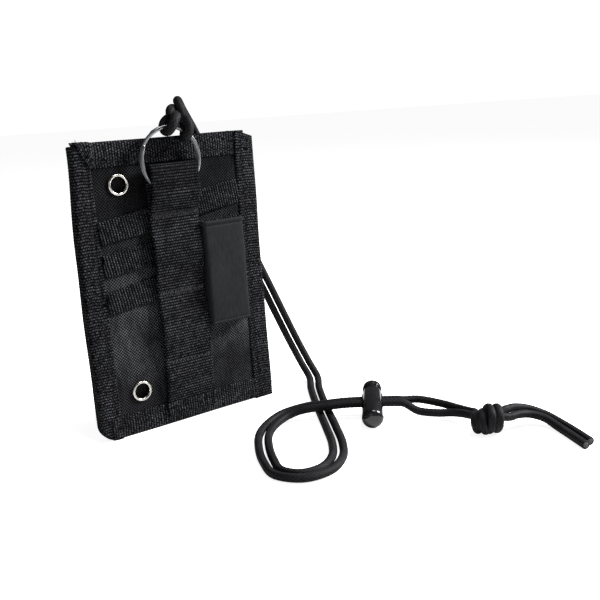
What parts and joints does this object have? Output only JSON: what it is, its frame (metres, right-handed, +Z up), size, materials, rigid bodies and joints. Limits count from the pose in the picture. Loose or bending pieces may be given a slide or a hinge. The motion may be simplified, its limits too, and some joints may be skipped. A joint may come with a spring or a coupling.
{
  "type": "neck pouch wallet",
  "caption": "Flat bound fabric pouch with a webbing strap, key ring, elastic pen loop, eyelets and a doubled neck cord with a sprung cord lock and stopper knot.",
  "frame": {"origin": "under the middle of the pouch with its ring and loop, on the surface that it stands on", "axes": "+Z up along the pouch, +X across its width to the right seen from the strap side, -Y out of the strap side, +Y out of the window side"},
  "size_m": [0.1593, 0.1732, 0.1521],
  "materials": {
    "oxford": "woven nylon oxford, matt",
    "lining": "plain woven nylon, matt",
    "board": "smooth sheet",
    "vinyl": "clear flexible sheet",
    "loop_pile": "soft looped pile",
    "binding_tape": "ribbed grosgrain",
    "webbing": "ribbed nylon webbing",
    "thread": "bonded nylon thread",
    "elastic": "smooth knitted elastic",
    "cord": "braided sheath",
    "nickel": "bright plated",
    "ring_steel": "polished spring steel",
    "spring_steel": "plain wire",
    "gloss_plastic": "gloss moulded"
  },
  "bodies": {
    "pouch": {"rear_panel": "oxford", "front_panel": "oxford", "pocket_divider": "lining", "stiffener_board": "board", "id_window": "vinyl", "patch_field": "loop_pile", "binding_left": "binding_tape", "binding_right": "binding_tape", "binding_bottom": "binding_tape", "binding_top_rear": "binding_tape", "binding_top_front": "binding_tape", "slant_band_upper": "webbing", "slant_band_middle": "webbing", "slant_band_lower": "webbing", "carry_strap": "webbing", "bartack_lower": "thread", "bartack_middle": "thread", "bartack_upper": "thread", "pen_loop": "elastic", "neck_cord_a": "cord", "neck_cord_b": "cord", "cord_tail_a": "cord", "cord_tail_b": "cord", "stopper_knot": "cord", "eyelet_upper": "nickel", "eyelet_lower": "nickel", "eyelet_washer_upper": "nickel", "eyelet_washer_lower": "nickel"},
    "ring_loop": {"ring_loop": "webbing", "ring_hitch": "cord"},
    "split_ring": {"split_ring": "ring_steel"},
    "cord_lock": {"cord_lock_barrel": "gloss_plastic", "cord_lock_spring": "spring_steel"},
    "lock_plunger": {"cord_lock_plunger": "gloss_plastic"}
  },
  "joints": [
    {"name": "ring_loop_swing", "type": "hinge", "parent": "pouch", "child": "ring_loop", "pos_m": [0, -0.00375, 0.1036], "axis": [1, 0, 0], "range_deg": [0, 80]},
    {"name": "ring_spin", "type": "hinge", "parent": "ring_loop", "child": "split_ring", "pos_m": [0, -0.00405, 0.1252], "axis": [0, 1, 0], "continuous": true},
    {"name": "cord_lock_slide", "type": "slide", "parent": "pouch", "child": "cord_lock", "axis": [0.7547, -0.6561, 0], "range_m": [-0.005, 0.005]},
    {"name": "plunger_press", "type": "slide", "parent": "cord_lock", "child": "lock_plunger", "axis": [-0.644, -0.7408, -0.1908], "range_m": [0, 0.003], "stiffness_N_per_m": 600, "deforming": ["cord_lock_spring"]}
  ]
}
